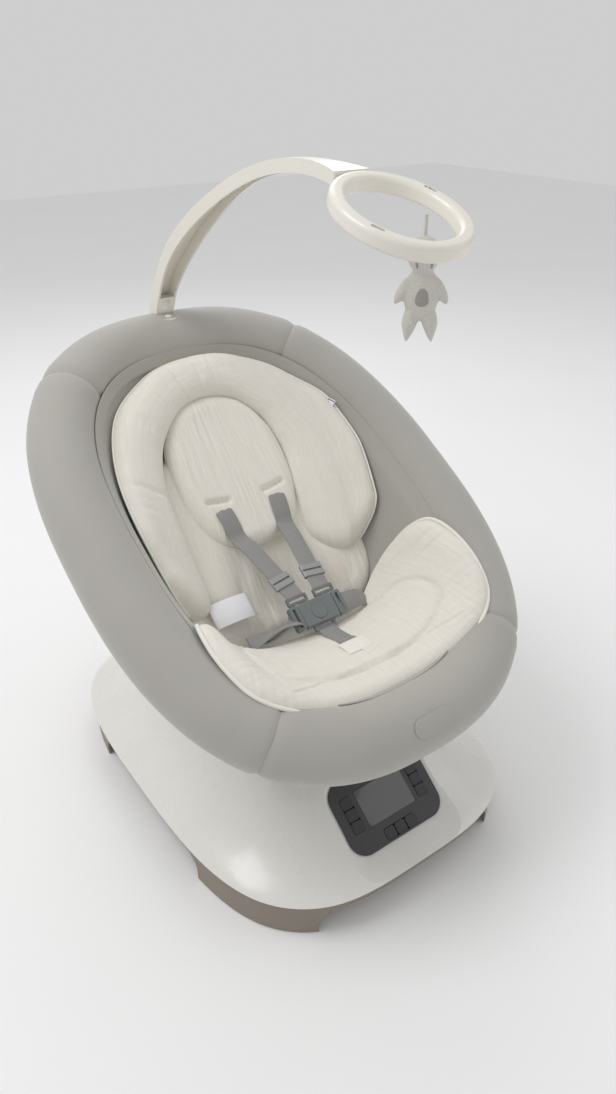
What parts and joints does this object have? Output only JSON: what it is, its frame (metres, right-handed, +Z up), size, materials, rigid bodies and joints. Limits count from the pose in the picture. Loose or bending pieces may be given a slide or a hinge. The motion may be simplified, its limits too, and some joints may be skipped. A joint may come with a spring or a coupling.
{
  "type": "baby swing",
  "caption": "Padded bucket seat on a domed motor base that sways, with harness, control panel and a swivelling mobile arm.",
  "frame": {"origin": "centre of the base on the floor", "axes": "+Z up, -Y towards the sitter's feet (the front and its control panel), +Y towards the head, +X to the right seen from the front"},
  "size_m": [0.5672, 0.6486, 0.8473],
  "materials": {
    "shell_gloss": "satin white moulded plastic",
    "tray_plastic": "matte taupe moulded plastic",
    "rubber": "soft rubber",
    "steel": "zinc plated steel",
    "charcoal": "satin charcoal plastic",
    "lens": "dark tinted lens",
    "board": "coated circuit board",
    "button_plastic": "satin charcoal keycap",
    "black_plastic": "black moulded plastic",
    "motor_steel": "plated motor can",
    "gear_plastic": "acetal",
    "bronze": "sintered bronze",
    "alloy": "die cast alloy",
    "tube_steel": "powder coated tube",
    "seat_plastic": "moulded polypropylene",
    "rim_fabric": "smooth bonded jersey over foam",
    "patch_fabric": "debossed patch",
    "pad_cotton": "crinkled cotton over wadding",
    "webbing": "woven polyester webbing",
    "adjuster_plastic": "satin grey acetal",
    "buckle_plastic": "slate grey acetal",
    "label": "satin woven label",
    "mobile_plastic": "cream moulded plastic",
    "toy_fabric": "linen weave"
  },
  "bodies": {
    "base": {"base_tray": "tray_plastic", "rubber_feet": "rubber", "base_top_shell": "shell_gloss", "base_screws": "steel", "control_bezel": "charcoal", "lcd_lens": "lens", "control_board": "board", "speaker": "board", "dc_jack": "black_plastic", "drive_motor": "motor_steel", "motor_bracket": "steel", "shaft_bearings": "bronze", "bearing_housings": "steel"},
    "pinion": {"motor_pinion": "gear_plastic"},
    "turntable": {"swing_shaft": "steel", "sector_gear": "gear_plastic", "hub_cap": "shell_gloss", "recline_yoke": "alloy", "pivot_pin": "steel"},
    "lever": {"recline_lever": "black_plastic"},
    "mobile": {"mobile_arm": "mobile_plastic", "mobile_ring": "mobile_plastic"},
    "mobile_button": {"mobile_release_button": "mobile_plastic"},
    "toy_body": {"toy": "toy_fabric"},
    "buckle_press": {"buckle_button": "buckle_plastic"},
    "adjuster_left": {"strap_adjuster_left": "adjuster_plastic"},
    "adjuster_right": {"strap_adjuster_right": "adjuster_plastic"},
    "button_auto": {"button_auto": "button_plastic"},
    "button_faster": {"button_faster": "button_plastic"},
    "button_lullaby": {"button_lullaby": "button_plastic"},
    "button_power": {"button_power": "button_plastic"},
    "button_slower": {"button_slower": "button_plastic"},
    "button_softer": {"button_softer": "button_plastic"},
    "button_sound": {"button_sound": "button_plastic"},
    "button_sway": {"button_sway": "button_plastic"},
    "button_vibrate": {"button_vibrate": "button_plastic"},
    "seat": {"back_pad": "pad_cotton", "badge_patch": "patch_fabric", "buckle_body": "buckle_plastic", "buckle_tongues": "buckle_plastic", "head_bolster": "pad_cotton", "head_pillow": "pad_cotton", "lap_straps": "webbing", "lever_pin": "steel", "mobile_socket": "mobile_plastic", "rim_brackets": "alloy", "rim_cover_front": "rim_fabric", "rim_cover_head": "rim_fabric", "rim_cover_left": "rim_fabric", "rim_cover_right": "rim_fabric", "rim_screws": "steel", "rim_tube_left": "tube_steel", "rim_tube_right": "tube_steel", "seat_flange": "seat_plastic", "seat_liner": "rim_fabric", "seat_pad": "pad_cotton", "seat_shell": "seat_plastic", "sewn_labels": "label", "shoulder_straps": "webbing", "vibration_unit": "black_plastic"}
  },
  "joints": [
    {"name": "seat_sway", "type": "hinge", "parent": "base", "child": "turntable", "pos_m": [0, 0, 0.19], "axis": [0, 0, 1], "range_deg": [-15, 15]},
    {"name": "pinion_spin", "type": "hinge", "parent": "base", "child": "pinion", "pos_m": [0, 0.105, 0.063], "axis": [0, 0, 1], "range_deg": [-60, 60]},
    {"name": "seat_recline", "type": "hinge", "parent": "turntable", "child": "seat", "pos_m": [0, 0.008, 0.217], "axis": [1, 0, 0], "range_deg": [-15, 0]},
    {"name": "lever_squeeze", "type": "hinge", "parent": "seat", "child": "lever", "pos_m": [0, 0.11477, 0.33983], "axis": [1, 0, 0], "range_deg": [0, 12], "stiffness_Nm_per_rad": 0.6, "springref_deg": -28.65},
    {"name": "mobile_swivel", "type": "hinge", "parent": "seat", "child": "mobile", "pos_m": [0, 0.28052, 0.57508], "axis": [0, 0, 1], "range_deg": [-75, 75]},
    {"name": "mobile_release_press", "type": "slide", "parent": "mobile", "child": "mobile_button", "axis": [0, 0, -1], "range_m": [0, 0.003], "stiffness_N_per_m": 300, "springref_m": -0.002},
    {"name": "toy_swing", "type": "hinge", "parent": "mobile", "child": "toy_body", "pos_m": [0.05322, -0.19113, 0.81004], "axis": [0, 1, 0], "range_deg": [-35, 35]},
    {"name": "buckle_press", "type": "slide", "parent": "seat", "child": "buckle_press", "axis": [0, 0.6335, -0.7737], "range_m": [0, 0.0025], "stiffness_N_per_m": 800, "springref_m": -0.002},
    {"name": "button_auto_press", "type": "slide", "parent": "base", "child": "button_auto", "axis": [0, 0.6108, -0.7918], "range_m": [0, 0.0008], "stiffness_N_per_m": 400, "springref_m": -0.001},
    {"name": "button_faster_press", "type": "slide", "parent": "base", "child": "button_faster", "axis": [0, 0.6108, -0.7918], "range_m": [0, 0.0008], "stiffness_N_per_m": 400, "springref_m": -0.001},
    {"name": "button_lullaby_press", "type": "slide", "parent": "base", "child": "button_lullaby", "axis": [0, 0.6108, -0.7918], "range_m": [0, 0.0008], "stiffness_N_per_m": 400, "springref_m": -0.001},
    {"name": "button_power_press", "type": "slide", "parent": "base", "child": "button_power", "axis": [0, 0.6108, -0.7918], "range_m": [0, 0.0008], "stiffness_N_per_m": 400, "springref_m": -0.001},
    {"name": "button_slower_press", "type": "slide", "parent": "base", "child": "button_slower", "axis": [0, 0.6108, -0.7918], "range_m": [0, 0.0008], "stiffness_N_per_m": 400, "springref_m": -0.001},
    {"name": "button_softer_press", "type": "slide", "parent": "base", "child": "button_softer", "axis": [0, 0.6108, -0.7918], "range_m": [0, 0.0008], "stiffness_N_per_m": 400, "springref_m": -0.001},
    {"name": "button_sound_press", "type": "slide", "parent": "base", "child": "button_sound", "axis": [0, 0.6108, -0.7918], "range_m": [0, 0.0008], "stiffness_N_per_m": 400, "springref_m": -0.001},
    {"name": "button_sway_press", "type": "slide", "parent": "base", "child": "button_sway", "axis": [0, 0.6108, -0.7918], "range_m": [0, 0.0008], "stiffness_N_per_m": 400, "springref_m": -0.001},
    {"name": "button_vibrate_press", "type": "slide", "parent": "base", "child": "button_vibrate", "axis": [0, 0.6108, -0.7918], "range_m": [0, 0.0008], "stiffness_N_per_m": 400, "springref_m": -0.001},
    {"name": "adjuster_left_slide", "type": "slide", "parent": "seat", "child": "adjuster_left", "axis": [0.1386, -0.9102, -0.3903], "range_m": [-0.06, 0]},
    {"name": "adjuster_right_slide", "type": "slide", "parent": "seat", "child": "adjuster_right", "axis": [-0.1386, -0.9102, -0.3903], "range_m": [-0.06, 0]}
  ],
  "couplings": [
    {"joint": "pinion_spin", "follows": "seat_sway", "ratio": -4}
  ]
}
